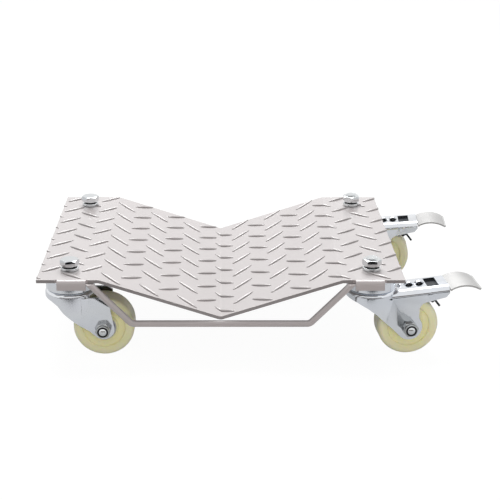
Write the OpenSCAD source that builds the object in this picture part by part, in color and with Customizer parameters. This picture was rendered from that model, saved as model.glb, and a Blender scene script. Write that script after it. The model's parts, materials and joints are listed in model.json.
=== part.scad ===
// Wheel dolly: a V-bent tread-plate deck on four swivel casters, two of them with a foot brake.
// Millimetres, +Z up. The origin is on the floor under the deck's centre, +X towards the braked casters.

/* [Deck plate] */
// Length of the deck along X
deck_l = 406.4; // [400:0.2:430]
// Width of the deck along Y
deck_w = 304.8; // [300:0.2:340]
// Thickness of the plate
plate_t = 4; // [3:0.5:5]
// Length of the level land at each end
land_l = 69; // [66:1:76]
// Depth of the V below the lands
valley_depth = 43.5; // [38:0.5:45]
// Width of a bent-down tab
tab_w = 32; // [26:1:34]
// Height of a tab below the plate's top
tab_h = 11; // [9:0.5:13]
// Outside radius of the tab's bend
tab_bend_r = 5; // [5:0.5:6]
// Distance from the deck's end to a tab
tab_end_inset = 22.9; // [20:0.1:25]
// Radius of the relief beside a tab's root
tab_relief_r = 1.2; // [1:0.1:1.5]

/* [Tread lugs] */
// Length of a raised lug
lug_l = 32; // [24:1:34]
// Width of a lug
lug_w = 6; // [4:0.5:7]
// Height of a lug
lug_h = 1.9; // [1:0.1:2.2]
// Angle of a lug to the deck's length
lug_angle = 40; // [35:1:45]
// Distance between lugs along the deck
lug_pitch_x = 44.4; // [42:0.2:48]
// Distance between lugs across the deck
lug_pitch_y = 43.1; // [41:0.1:46]

/* [Brace rods] */
// Diameter of a brace rod
rod_d = 7.5; // [6:0.5:8]
// How far the rod's axis lies outside the plate's edge
rod_outboard = 1.5; // [1:0.1:2]
// Distance of the lower bend from the deck's middle
rod_bend_x = 99; // [96:1:100]
// Angle of the slanting arms
rod_slope = 46; // [45:1:50]
// Centreline radius of the bend
rod_bend_r = 7.5; // [6:0.5:10]

/* [Casters] */
// Wheel diameter
wheel_d = 69; // [66:0.5:70]
// Wheel width at the tread
wheel_w = 30; // [24:1:31]
// Radius of the tread's edges
wheel_edge_r = 5; // [3:0.5:6]
// Depth of the recess in the wheel's side
wheel_recess = 2.5; // [1:0.5:4]
// Radius of the step in the wheel's side
wheel_step_r = 19; // [18:0.5:24]
// Length of the hub
hub_l = 32; // [31.5:0.1:33]
// Distance from kingpin to axle on a plain caster
trail_plain = 37.5; // [36:0.5:38]
// Distance from kingpin to axle on a braked caster
trail_braked = 42; // [40:0.5:43]
// Kingpin distance from the deck's end
kingpin_end_inset = 33.7; // [32:0.1:36]
// Kingpin distance from the deck's side
kingpin_side_inset = 33.5; // [33:0.1:36]
// Swivel of the front braked caster in the stored pose
front_yaw = 5; // [-12:1:12]
// Swivel of the rear braked caster in the stored pose
rear_yaw = -4; // [-12:1:12]

/* [Swivel head] */
// Radius of the top race disc
disc_r = 27.5; // [26:0.5:28]
// Height of the top race disc
disc_h = 15.4; // [13:0.2:18]
// Radius of the fork's crown
crown_r = 28.5; // [28:0.5:30]
// Sheet thickness of the crown
crown_t = 3; // [2.5:0.5:4]
// Height of the crown's underside over the wheel
crown_over_wheel = 6.7; // [6:0.1:9]
// Gap between disc and crown
swivel_gap = 0.6; // [0.4:0.1:1]
// Diameter of a swivel ball
ball_d = 5; // [4:0.5:5]
// Pitch radius of the balls
ball_pitch_r = 20.5; // [19:0.5:21]
// Number of balls in a race
ball_count = 16; // [8:1:20]
// Outside radius of the kingpin sleeve
sleeve_r = 9; // [8.5:0.1:11]
// Radius of the lower race washer
lower_race_r = 15; // [13:0.5:15]
// Thickness of the lower race washer
lower_race_t = 3; // [2:0.5:4]

/* [Fasteners] */
// Kingpin diameter
kingpin_d = 12; // [10:1:14]
// Width across flats of the kingpin hex
kingpin_af = 19; // [17:1:21]
// Height of the kingpin bolt's head
head_h = 9; // [7:0.5:10]
// Height of the kingpin nut
nut_h = 9.5; // [8:0.5:11]
// Thread that stands past a kingpin nut
stud_past_nut = 2.5; // [1:0.5:5]
// Outside diameter of a spring washer
spring_washer_d = 20.5; // [19:0.5:24]
// Thickness of a spring washer
spring_washer_t = 3.5; // [2:0.5:4]
// Slit of a spring washer
spring_washer_slit = 1.5; // [1:0.5:3]
// Axle diameter
axle_d = 10; // [8:1:10]
// Width across flats of the axle's hex
axle_af = 16; // [14:1:17]
// Height of the axle bolt's head
axle_head_h = 6.5; // [5:0.5:8]
// Height of the axle's lock nut
lock_nut_h = 10.5; // [8:0.5:12]
// Axle thread that stands past the lock nut
axle_past_nut = 1.5; // [1:0.5:3]
// Outside radius of the axle sleeve
axle_sleeve_r = 7; // [6.5:0.1:7.5]
// Outside radius of a wheel bearing
bearing_r = 14; // [12:0.5:15]
// Width of a wheel bearing
bearing_w = 8; // [6:0.5:10]

/* [Fork sheet] */
// Sheet thickness of the legs
leg_t = 3; // [2.5:0.5:3.5]
// Gap between a leg and the hub
leg_gap = 1.2; // [0.8:0.1:2]
// Radius of a plain leg's lower end
leg_end_r_plain = 12.5; // [12:0.5:13]
// Radius of a braked leg's lower end
leg_end_r_braked = 14.5; // [12:0.5:15]
// Bend radius at the top of the crown
shoulder_r = 5; // [4:0.5:6]
// Angle at which the skirt draws in from crown to leg
draw_in = 30; // [25:1:40]

/* [Brake] */
// Length of the brake housing from the kingpin
housing_l = 85.4; // [82:0.2:90]
// Bend radius along the housing's top edges
housing_round = 7; // [5:0.5:7.5]
// Upward tilt of the housing
housing_tilt = 5.5; // [4:0.5:6]
// Distance from kingpin to pedal pin
pin_x = 64; // [62:0.5:66]
// Depth of the pedal pin below the housing's top
pin_drop = 8.0; // [7.8:0.1:8.6]
// Diameter of the pedal pin
pin_d = 6; // [5:0.5:6]
// Outside radius of the pedal's hub
pedal_hub_r = 4.6; // [4.2:0.1:5]
// Thickness of the pedal's sheet
pedal_t = 1.8; // [1.4:0.1:2.2]
// Width of the pedal's blade
pedal_w = 43; // [38:0.5:45]
// Length of the pedal's blade past the housing
pedal_l = 35.5; // [32:0.5:38]
// Radius of the blade's arch
pedal_arch_r = 32.5; // [30:0.5:36]
// Turn of the pedal from free to locked, in degrees
pedal_travel = 12; // [8:1:14]
// Length of the arm below the pedal pin
brake_arm_l = 13; // [12:0.5:14]
// Thickness of that arm
brake_arm_t = 3; // [2.5:0.5:4]
// Lean of that arm from upright, in degrees
brake_arm_lean = 38; // [36:0.5:40]
// Width of arm and pad
pad_w = 24; // [18:1:26]
// Thickness of the brake pad
pad_t = 5; // [4:0.5:6]
// Length of the brake pad
pad_l = 10; // [8:0.5:11]
// Diameter of the adjuster screw
adjuster_d = 2.5; // [2:0.5:4]
// Length of the adjuster screw past the arm
adjuster_l = 14; // [9:0.5:15]
// Width of the leaf spring
leaf_w = 10; // [8:1:11]
// Thickness of the leaf spring
leaf_t = 0.8; // [0.5:0.1:1]

/* [Hidden] */
$fn = 64;
eps = 0.01;
fit_gap = 0.05;
hole_gap = 0.3;
seat_gap = 0.1;
free_gap = 0.3;
washer_seat_gap = 1;

CORNERS = ["front_left", "front_right", "rear_left", "rear_right"];
SIDE_X = [-1, 1, -1, 1];
SIDE_Y = [-1, -1, 1, 1];
YAW = [0, front_yaw, 0, rear_yaw];
// Turn of the hexagon that shows on the deck at each corner, 0 facing a flat to the front
HEX_TURN = [10, -3, 10, 30];
PLAIN = [0, 2];
BRAKED = [1, 3];
ALL_CORNERS = [0, 1, 2, 3];
CASTER_NODES = ["top_disc", "kingpin_sleeve", "swivel_balls", "lower_race", "fork", "axle_bolt", "axle_nut",
                "axle_sleeve", "wheel", "wheel_bearings"];
BRAKE_NODES = ["pedal_pin", "leaf_spring", "brake_lever", "brake_pedal", "brake_pad", "adjuster_screw"];

// Colours
paint = [0.85, 0.82, 0.81];
zinc = [0.78, 0.81, 0.86];
steel = [0.62, 0.64, 0.67];
nylon = [0.93, 0.91, 0.68];
black = [0.12, 0.12, 0.13];
pedal_grey = [0.86, 0.85, 0.83];

// Heights of the swivel stack, from the floor up
axle_z = wheel_d / 2;
crown_base_z = wheel_d + crown_over_wheel;
crown_top_z = crown_base_z + crown_t;
disc_base_z = crown_top_z + swivel_gap;
land_base_z = disc_base_z + disc_h;
land_top_z = land_base_z + plate_t;
ball_z = disc_base_z + ball_d / 5;
disc_web_t = 3;
disc_hollow_r = 15;
lower_race_z = crown_base_z - free_gap - lower_race_t;

// Deck plate
slope_x = deck_l / 2 - land_l;
slope_a = atan(valley_depth / slope_x);
valley_base_z = land_top_z - valley_depth - plate_t / cos(slope_a);
bend_shift = plate_t * tan(slope_a / 2);
tab_in_x = deck_l / 2 - tab_end_inset - tab_w;
tab_corner = 2;
kingpin_x = deck_l / 2 - kingpin_end_inset;
kingpin_y = deck_w / 2 - kingpin_side_inset;
bolt_hole_r = kingpin_d / 2 + hole_gap;

// Lugs: the lens that two balls share, standing on its rim and sunk until only a cap shows
lug_rim_r = (pow(lug_l / 2, 2) + pow(lug_h, 2)) / (2 * lug_h);
lug_ball_y = (pow(lug_l, 2) - pow(lug_w, 2)) / (4 * lug_w);
lug_ball_r = sqrt(pow(lug_rim_r, 2) + pow(lug_ball_y, 2));
lug_root = 0.6;
lug_cols = ceil(deck_l / lug_pitch_x / 2) + 1;
lug_rows = ceil(deck_w / lug_pitch_y);
lug_first_y = 35.4 - lug_pitch_y;
lug_tip = 5;
lug_reach_x = (lug_l / 2 - lug_tip) * cos(lug_angle);
lug_reach_y = (lug_l / 2 - lug_tip) * sin(lug_angle);
lug_stagger_x = lug_pitch_x / 2;
lug_stagger_y = lug_pitch_y / 2;
lug_mid_x = -17.4;
lug_lift = 2 * lug_h;

// Brace rods
rod_y = deck_w / 2 + rod_outboard;
rod_r = rod_d / 2;
rod_edge_drop = sqrt(pow(rod_r, 2) - pow(rod_outboard, 2));
rod_z = valley_base_z - rod_edge_drop - seat_gap;
rod_bend_back = rod_bend_r * tan(rod_slope / 2);
rod_run = rod_bend_x - rod_bend_back;
rod_lap = 0.3;
lap_step = 0.02;
rod_end_x = tab_in_x - seat_gap;
rod_end_z = land_base_z - seat_gap;

// Fork
leg_in_y = hub_l / 2 + leg_gap;
leg_out_y = leg_in_y + leg_t;
skirt_z = crown_top_z - shoulder_r;
crown_skirt_h = 3;
wall_top_z = skirt_z - crown_skirt_h / 3;
leg_top_z = crown_base_z - 4.1;
leg_side_x = 8.4;

// Brake
housing_x = 20;
housing_z = crown_top_z - 0.8;
housing_wall_h = housing_round + 1;
pin_z = housing_z + (pin_x - 32) * tan(housing_tilt) - pin_drop;
pedal_gap = 0.4;
window_x = 68.8;
window_l = 13.2;
window_w = 24;
LOUVERS_X = [43.5, 55.3];
louver_r = 5.8;
louver_h = 3.8;
louver_t = 0.8;
louver_cut_r = 4.6;
louver_open = 2.2;
louver_ball_r = (pow(louver_r, 2) + pow(louver_h, 2)) / (2 * louver_h);
rivet_x = 33.2;
rivet_r = 2;
rivet_head_r = 3.6;
rivet_foot_r = 3.2;
blade_x = housing_l - 6;

function housing_top(x) = housing_z + (x - 32) * tan(housing_tilt);

module corner(c) {
    translate([SIDE_X[c] * kingpin_x, SIDE_Y[c] * kingpin_y, 0]) rotate(YAW[c]) children();
}

module hex(af, h) {
    cylinder(d = af / cos(30), h = h, $fn = 6);
}

// A side view in X and Z, drawn out to a width that is centred on Y = 0
module side_cut(width) {
    rotate([90, 0, 0]) linear_extrude(width, center = true) children();
}

module ring(r_out, r_in, h) {
    difference() {
        cylinder(r = r_out, h = h);
        translate([0, 0, -eps]) cylinder(r = r_in, h = h + 2 * eps);
    }
}

// Hexagon with its corners turned off on the upper edge
module chamfered_hex(af, h) {
    intersection() {
        hex(af, h);
        cylinder(r1 = af / 2 + h * 1.2, r2 = af / 2 * 0.97, h = h);
    }
}

// Deck plate

module deck_profile() {
    polygon([
        [-deck_l / 2, land_top_z], [-slope_x, land_top_z], [0, land_top_z - valley_depth],
        [slope_x, land_top_z], [deck_l / 2, land_top_z], [deck_l / 2, land_base_z],
        [slope_x + bend_shift, land_base_z], [0, valley_base_z],
        [-slope_x - bend_shift, land_base_z], [-deck_l / 2, land_base_z]
    ]);
}

// Section of a tab in Y and Z, with the plate's edge at the origin's Y
module tab_section() {
    inner_r = max(tab_bend_r - plate_t, 0.2);
    translate([0, land_top_z - tab_bend_r]) intersection() {
        difference() {
            circle(tab_bend_r);
            circle(inner_r);
        }
        square(tab_bend_r);
    }
    translate([inner_r, land_top_z - tab_h]) square([tab_bend_r - inner_r, tab_h - tab_bend_r]);
    translate([-1, land_base_z]) square([1 + eps, plate_t]);
}

module tab_outline() {
    low = land_top_z - tab_h;
    polygon([
        [tab_in_x, land_top_z], [tab_in_x, low + tab_corner], [tab_in_x + tab_corner, low],
        [tab_in_x + tab_w - tab_corner, low], [tab_in_x + tab_w, low + tab_corner],
        [tab_in_x + tab_w, land_top_z]
    ]);
}

module tab() {
    intersection() {
        translate([tab_in_x, deck_w / 2, 0]) rotate([90, 0, 90]) linear_extrude(tab_w) tab_section();
        side_cut(deck_w * 2) tab_outline();
    }
}

module four_ways() {
    for (mx = [0, 1]) for (my = [0, 1]) mirror([mx, 0, 0]) mirror([0, my, 0]) children();
}

module lug_ball(side) {
    translate([0, side * lug_ball_y, lug_h - lug_rim_r]) sphere(lug_ball_r, $fn = 180);
}

module lug(turn) {
    rotate(turn) intersection() {
        lug_ball(-1);
        lug_ball(1);
        translate([-lug_l, -lug_w, -lug_root]) cube([2 * lug_l, 2 * lug_w, lug_root + lug_lift]);
    }
}

// The lugs of a flat stretch of plate whose developed length runs from s0 to s1, without those of which
// only the tip would reach in
module lug_field(s0, s1) {
    for (i = [-lug_cols : lug_cols]) for (j = [0 : lug_rows]) for (k = [0, 1]) {
        s = lug_mid_x + i * lug_pitch_x + k * lug_stagger_x;
        y = lug_first_y + j * lug_pitch_y + k * lug_stagger_y - deck_w / 2;
        if (s > s0 - lug_reach_x && s < s1 + lug_reach_x && abs(y) < deck_w / 2 + lug_reach_y)
            translate([s, y, 0]) lug(k == 0 ? lug_angle : -lug_angle);
    }
}

// Clips a field of lugs to its stretch of plate, between the planes that halve the bends
module stretch_clip(s0, s1, lean0, lean1) {
    side_cut(deck_w) polygon([
        [s0 - lug_root * tan(lean0), -lug_root], [s1 - lug_root * tan(lean1), -lug_root],
        [s1 + lug_lift * tan(lean1), lug_lift], [s0 + lug_lift * tan(lean0), lug_lift]
    ]);
}

module lug_stretch(s0, s1, lean0, lean1) {
    intersection() {
        lug_field(s0, s1);
        stretch_clip(s0, s1, lean0, lean1);
    }
}

module tread() {
    slope_s = slope_x / cos(slope_a);
    half = slope_a / 2;
    translate([-slope_x + slope_s, 0, land_top_z]) lug_stretch(-slope_s - land_l, -slope_s, 0, half);
    translate([0, 0, land_top_z - valley_depth]) rotate([0, slope_a, 0])
        lug_stretch(-slope_s, 0, -half, slope_a);
    translate([0, 0, land_top_z - valley_depth]) rotate([0, -slope_a, 0])
        lug_stretch(0, slope_s, -slope_a, half);
    translate([slope_x - slope_s, 0, land_top_z]) lug_stretch(slope_s, slope_s + land_l, -half, 0);
}

module deck_plate() {
    color(paint) difference() {
        union() {
            side_cut(deck_w) deck_profile();
            four_ways() tab();
            tread();
        }
        four_ways() translate([kingpin_x, kingpin_y, land_base_z - eps])
            cylinder(r = bolt_hole_r, h = plate_t + lug_lift);
        four_ways() translate([kingpin_x, kingpin_y, land_top_z])
            cylinder(d = spring_washer_d + 2 * washer_seat_gap, h = lug_lift);
        four_ways() for (x = [tab_in_x - tab_relief_r, tab_in_x + tab_w + tab_relief_r])
            translate([x, deck_w / 2, land_base_z - eps])
                cylinder(r = tab_relief_r - eps, h = plate_t + lug_lift);
    }
}

// Brace rods

// One bend and a slanting arm, cut off at the tab and under the plate
module rod_arm() {
    translate([rod_run, 0, rod_z + rod_bend_r]) rotate([90, 0, 0])
        rotate(-90) rotate_extrude(angle = rod_slope) translate([rod_bend_r, 0]) circle(rod_r);
    intersection() {
        translate([rod_bend_x, 0, rod_z]) rotate([0, 90 - rod_slope, 0])
            translate([0, 0, rod_bend_back - rod_lap]) cylinder(r = rod_r - lap_step, h = deck_l / 4);
        translate([0, -rod_d, 0]) cube([rod_end_x, 2 * rod_d, rod_end_z]);
    }
}

module brace_rod(side) {
    color(paint) translate([0, side * rod_y, 0]) {
        translate([-rod_run - rod_lap, 0, rod_z]) rotate([0, 90, 0])
            cylinder(r = rod_r - lap_step, h = 2 * (rod_run + rod_lap));
        rod_arm();
        mirror([1, 0, 0]) rod_arm();
    }
}

// Kingpins and their fasteners

module spring_washers() {
    color(steel) for (c = ALL_CORNERS) corner(c) translate([0, 0, land_top_z]) difference() {
        ring(spring_washer_d / 2, kingpin_d / 2 + hole_gap, spring_washer_t);
        rotate(60 - YAW[c]) translate([0, -spring_washer_slit / 2, -eps])
            cube([spring_washer_d, spring_washer_slit, spring_washer_t + 2 * eps]);
    }
}

module kingpin_bolts() {
    color(zinc) for (c = PLAIN) corner(c) {
        low = lower_race_z - nut_h - stud_past_nut / 2;
        head_z = land_top_z + spring_washer_t;
        translate([0, 0, low]) cylinder(d = kingpin_d, h = head_z - low + eps);
        translate([0, 0, head_z]) rotate(HEX_TURN[c]) chamfered_hex(kingpin_af, head_h);
    }
}

module kingpin_nuts() {
    color(zinc) for (c = PLAIN) corner(c) translate([0, 0, lower_race_z - nut_h]) difference() {
        hex(kingpin_af, nut_h);
        translate([0, 0, -eps]) cylinder(d = kingpin_d + 2 * fit_gap, h = nut_h + 2 * eps);
    }
}

module stem_bolts() {
    color(zinc) for (c = BRAKED) corner(c) {
        high = land_top_z + spring_washer_t + nut_h + stud_past_nut;
        translate([0, 0, lower_race_z - head_h]) hex(kingpin_af, head_h);
        translate([0, 0, lower_race_z - eps]) cylinder(d = kingpin_d, h = high - lower_race_z - 1 + eps);
        translate([0, 0, high - 1 - eps]) cylinder(d1 = kingpin_d, d2 = kingpin_d - 2, h = 1);
    }
}

module stem_nuts() {
    color(zinc) for (c = BRAKED) corner(c) translate([0, 0, land_top_z + spring_washer_t])
        rotate(HEX_TURN[c] - YAW[c]) difference() {
            chamfered_hex(kingpin_af, nut_h);
            translate([0, 0, -eps]) cylinder(d = kingpin_d + 2 * fit_gap, h = nut_h + 2 * eps);
        }
}

// Swivel head

module ball_groove(gap) {
    rotate_extrude() translate([ball_pitch_r, ball_z]) circle(ball_d / 2 + gap);
}

module top_disc(c) {
    color(zinc) corner(c) difference() {
        rotate_extrude() difference() {
            union() {
                translate([bolt_hole_r, disc_base_z]) square([disc_r - shoulder_r - bolt_hole_r, disc_h]);
                translate([bolt_hole_r, disc_base_z]) square([disc_r - bolt_hole_r, disc_h - shoulder_r]);
                translate([disc_r - shoulder_r, land_base_z - shoulder_r]) intersection() {
                    circle(shoulder_r);
                    square(shoulder_r);
                }
            }
            translate([0, disc_base_z - eps]) square([disc_hollow_r, disc_h - disc_web_t]);
        }
        ball_groove(fit_gap);
    }
}

module swivel_balls(c) {
    color(steel) corner(c) for (i = [0 : ball_count - 1])
        rotate(i * 360 / ball_count) translate([ball_pitch_r, 0, ball_z]) sphere(d = ball_d);
}

module kingpin_sleeve(c) {
    sleeve_z = lower_race_z + lower_race_t;
    color(steel) corner(c) translate([0, 0, sleeve_z])
        ring(sleeve_r, kingpin_d / 2 + fit_gap, land_base_z - disc_web_t - sleeve_z - eps);
}

module lower_race(c) {
    color(steel) corner(c) translate([0, 0, lower_race_z])
        ring(lower_race_r, kingpin_d / 2 + fit_gap, lower_race_t);
}

// Fork

// Plan of the fork's wall: round at the crown, drawn in to two straight legs
module wall_plan(r, y, reach) {
    tangent_x = r * sin(draw_in);
    tangent_y = r * cos(draw_in);
    straight_x = tangent_x + (tangent_y - y) / tan(draw_in);
    circle(r);
    polygon([
        [0, -tangent_y], [tangent_x, -tangent_y], [straight_x, -y], [reach, -y],
        [reach, y], [straight_x, y], [tangent_x, tangent_y], [0, tangent_y]
    ]);
}

module fork_wall(reach, top, inset = 0) {
    linear_extrude(top) difference() {
        wall_plan(crown_r, leg_out_y - inset, reach);
        wall_plan(crown_r - leg_t, leg_in_y + inset, reach + 1);
    }
}

module crown() {
    groove_shell = crown_r - shoulder_r;
    rotate_extrude() {
        translate([sleeve_r + fit_gap, crown_base_z]) square([groove_shell - sleeve_r - fit_gap, crown_t]);
        translate([groove_shell, skirt_z]) intersection() {
            difference() {
                circle(shoulder_r);
                circle(shoulder_r - crown_t);
            }
            square(shoulder_r);
        }
        translate([crown_r - crown_t, skirt_z - crown_skirt_h]) square([crown_t, crown_skirt_h]);
    }
}

// Lower outline that both forks share: the crown's lobe, then a slant down to the axle's round end
module leg_outline(trail, end_r, lobe, upper) {
    slant = 42.5;
    foot = [trail - end_r * sin(slant), axle_z - end_r * cos(slant)];
    translate([trail, axle_z]) circle(end_r);
    polygon(concat(
        [[-crown_r - 1, wall_top_z], [-crown_r - 1, skirt_z - crown_skirt_h]],
        lobe, [foot, [trail, axle_z], [trail + end_r, axle_z]], upper
    ));
}

module plain_outline() {
    side_x = trail_plain + leg_side_x;
    leg_outline(trail_plain, leg_end_r_plain,
        [[-19, crown_base_z - 7.5], [-12.5, crown_base_z - 11.2], [-6, crown_base_z - 19.5]],
        [[side_x, crown_base_z - 19], [side_x, leg_top_z - 4], [side_x - 6, leg_top_z], [17, leg_top_z],
         [13, wall_top_z]]);
}

module braked_outline() {
    side_x = trail_braked + leg_end_r_braked - 4;
    fillet_r = 9;
    under = housing_top(housing_l) - 13;
    under_slope = 14;
    fillet_x = side_x + fillet_r;
    under_z = under + (fillet_x - housing_l + 3) * tan(under_slope);
    fillet_z = under_z - fillet_r / cos(under_slope);
    touch = [fillet_x - fillet_r * sin(under_slope), fillet_z + fillet_r * cos(under_slope)];
    difference() {
        leg_outline(trail_braked, leg_end_r_braked,
            [[-19, crown_base_z - 8.2], [-8, crown_base_z - 13.7], [2, crown_base_z - 21]],
            [[side_x, fillet_z - fillet_r], [side_x, fillet_z], [fillet_x, fillet_z], touch,
             [housing_l - 3, under], [housing_l + 0.6, under + 4.5],
             [housing_l + 0.6, housing_top(housing_l) - housing_round - 1],
             [housing_x, housing_top(housing_x) - housing_round - 1], [12, wall_top_z]]);
        translate([fillet_x, fillet_z]) circle(fillet_r);
    }
}

// Section of the brake housing in Y and Z: a channel open below, its top at Z = 0
module channel(half_w, r, drop) {
    translate([-half_w, -drop]) square([2 * half_w, drop - r]);
    translate([r - half_w, -drop]) square([2 * (half_w - r), drop]);
    for (s = [-1, 1]) intersection() {
        translate([s * (half_w - r), -r]) circle(r);
        translate([-half_w, -drop]) square([2 * half_w, drop]);
    }
}

// A pressed dome over a round cut in the housing's top, open on its -Y side
module louver() {
    intersection() {
        translate([0, 0, louver_h - louver_ball_r]) difference() {
            sphere(louver_ball_r);
            sphere(louver_ball_r - louver_t);
        }
        translate([-louver_r - 1, -louver_open, -leg_t / 3])
            cube([2 * louver_r + 2, 2 * louver_r + louver_open, leg_t / 3 + louver_h + 1]);
    }
}

module housing_shell() {
    start = housing_x / cos(housing_tilt);
    end = housing_l / cos(housing_tilt);
    translate([0, 0, housing_top(0)]) rotate([0, -housing_tilt, 0]) difference() {
        translate([start, 0, 0]) rotate([90, 0, 90]) linear_extrude(end - start) difference() {
            channel(leg_out_y, housing_round, housing_wall_h);
            translate([0, -leg_t]) channel(leg_in_y, housing_round - leg_t, housing_wall_h);
        }
        translate([window_x - window_l / 2, -window_w / 2, -leg_t - 1]) cube([window_l, window_w, leg_t + 2]);
        for (x = LOUVERS_X) translate([x, 0, -leg_t - 1]) cylinder(r = louver_cut_r, h = leg_t + 2);
        translate([rivet_x, 0, -leg_t - 1]) cylinder(r = rivet_r + fit_gap, h = leg_t + 2);
    }
    translate([0, 0, housing_top(0)]) rotate([0, -housing_tilt, 0])
        for (x = LOUVERS_X) translate([x, 0, 0]) louver();
}

module axle_hole(trail) {
    translate([trail, 0, axle_z]) rotate([90, 0, 0])
        cylinder(d = axle_d + 2 * fit_gap, h = 4 * leg_out_y, center = true);
}

module plain_fork(c) {
    color(zinc) corner(c) difference() {
        union() {
            crown();
            intersection() {
                fork_wall(trail_plain + 2 * leg_end_r_plain, crown_top_z);
                side_cut(4 * crown_r) plain_outline();
            }
        }
        ball_groove(fit_gap);
        axle_hole(trail_plain);
    }
}

module braked_fork(c) {
    color(zinc) corner(c) difference() {
        union() {
            crown();
            intersection() {
                fork_wall(housing_l + 2, crown_top_z + housing_l, lap_step);
                side_cut(4 * crown_r) braked_outline();
            }
            housing_shell();
        }
        ball_groove(fit_gap);
        axle_hole(trail_braked);
        translate([pin_x, 0, pin_z]) rotate([90, 0, 0])
            cylinder(d = pin_d + 2 * fit_gap, h = 4 * leg_out_y, center = true);
    }
}

// Axle and wheel

function trail_of(c) = SIDE_X[c] < 0 ? trail_plain : trail_braked;

// Moves to a caster's axle, with Z along the axle towards the nut
module at_axle(c) {
    corner(c) translate([trail_of(c), 0, axle_z]) rotate([90, 0, 0]) children();
}

module axle_bolt(c) {
    shank = 2 * leg_out_y + lock_nut_h + axle_past_nut;
    color(zinc) at_axle(c) {
        translate([0, 0, -leg_out_y - axle_head_h]) hex(axle_af, axle_head_h);
        translate([0, 0, -leg_out_y - eps]) cylinder(d = axle_d, h = shank - 1 + eps);
        translate([0, 0, shank - leg_out_y - 1 - eps]) cylinder(d1 = axle_d, d2 = axle_d - 2, h = 1);
    }
}

module axle_nut(c) {
    collar_h = 3;
    color(zinc) at_axle(c) translate([0, 0, leg_out_y]) difference() {
        union() {
            rotate(8) hex(axle_af, lock_nut_h - collar_h);
            cylinder(d = axle_af * 0.9, h = lock_nut_h);
        }
        translate([0, 0, -eps]) cylinder(d = axle_d + 2 * fit_gap, h = lock_nut_h + 2 * eps);
    }
}

module axle_sleeve(c) {
    color(steel) at_axle(c) translate([0, 0, -leg_in_y])
        ring(axle_sleeve_r, axle_d / 2 + fit_gap, 2 * leg_in_y);
}

module wheel_section() {
    bore_r = axle_sleeve_r + 1;
    difference() {
        union() {
            translate([bore_r, wheel_edge_r - wheel_w / 2])
                square([wheel_d / 2 - bore_r, wheel_w - 2 * wheel_edge_r]);
            translate([bore_r, -wheel_w / 2]) square([wheel_d / 2 - wheel_edge_r - bore_r, wheel_w]);
            for (s = [-1, 1]) translate([wheel_d / 2 - wheel_edge_r, s * (wheel_w / 2 - wheel_edge_r)])
                circle(wheel_edge_r);
            translate([bore_r, -hub_l / 2]) square([bearing_r + 2 - bore_r, hub_l]);
        }
        for (s = [0, 1]) mirror([0, s]) {
            translate([bearing_r + 2, wheel_w / 2 - wheel_recess])
                square([wheel_step_r + 5 - bearing_r - 2, wheel_recess + 1]);
            translate([0, hub_l / 2 - bearing_w]) square([bearing_r + fit_gap / 2, bearing_w + 1]);
        }
    }
}

module wheel(c) {
    color(nylon) at_axle(c) rotate_extrude($fn = 96) wheel_section();
}

module wheel_bearings(c) {
    color(black) at_axle(c) for (s = [-1, 1])
        translate([0, 0, s * (hub_l - bearing_w) / 2 - bearing_w / 2])
            ring(bearing_r, axle_sleeve_r + fit_gap, bearing_w);
}

// Brake

module pedal_pin(c) {
    color(zinc) corner(c) translate([pin_x, 0, pin_z]) rotate([90, 0, 0])
        cylinder(d = pin_d, h = 2 * leg_out_y, center = true);
}

// A rivet through housing and leaf, with a domed head above and a flat one below
module rivet() {
    translate([0, 0, -leg_t - leaf_t - 1]) cylinder(r = rivet_r, h = leg_t + leaf_t + 1);
    translate([0, 0, -leg_t - leaf_t - 1]) cylinder(r = rivet_foot_r, h = 1);
    intersection() {
        translate([0, 0, -rivet_head_r * 0.6]) sphere(rivet_head_r * 1.16);
        cylinder(r = rivet_head_r, h = rivet_head_r);
    }
}

module leaf_spring(c) {
    leaf_start = rivet_x - rivet_foot_r - leaf_t;
    leaf_end = LOUVERS_X[1] + leaf_w / 2;
    color(zinc) corner(c) translate([0, 0, housing_top(0)]) rotate([0, -housing_tilt, 0]) {
        difference() {
            translate([leaf_start, -leaf_w / 2, -leg_t - leaf_t])
                cube([leaf_end - leaf_start, leaf_w, leaf_t]);
            translate([rivet_x, 0, -leg_t - 2 * leaf_t]) cylinder(r = rivet_r - eps, h = 3 * leaf_t);
        }
        translate([rivet_x, 0, 0]) rivet();
    }
}

// Side view of lever and pedal: hub, strip inside the housing, arched blade with a lip
module pedal_side() {
    mouth_x = housing_l + 1.2;
    mouth_z = housing_top(mouth_x) - leg_t - pedal_gap - pedal_t / 2;
    chord_x = (pedal_l - 2) / 2;
    arch_z = mouth_z - sqrt(pow(pedal_arch_r, 2) - pow(chord_x, 2));
    strip_a = atan((mouth_z - pin_z - pedal_hub_r + pedal_t / 2) / (mouth_x - pin_x));
    tip_x = mouth_x + pedal_l - 2;
    translate([pin_x, pin_z]) circle(pedal_hub_r);
    translate([pin_x, pin_z + pedal_hub_r - pedal_t]) rotate(strip_a)
        square([(mouth_x - pin_x) / cos(strip_a) + pedal_t, pedal_t]);
    translate([mouth_x + chord_x, arch_z]) intersection() {
        difference() {
            circle(pedal_arch_r + pedal_t / 2, $fn = 128);
            circle(pedal_arch_r - pedal_t / 2, $fn = 128);
        }
        translate([-chord_x, 0]) square([2 * chord_x, 2 * pedal_arch_r]);
    }
    translate([tip_x, mouth_z]) rotate(12) translate([-0.5, -pedal_t / 2 - 0.3]) square([2.5, pedal_t]);
}

module lever_plan() {
    inside_w = 2 * (leg_in_y - (housing_round - leg_t) - pedal_gap);
    lever_x = pin_x - 2 * pedal_hub_r;
    translate([lever_x, -inside_w / 2]) square([blade_x - lever_x, inside_w]);
}

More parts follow.
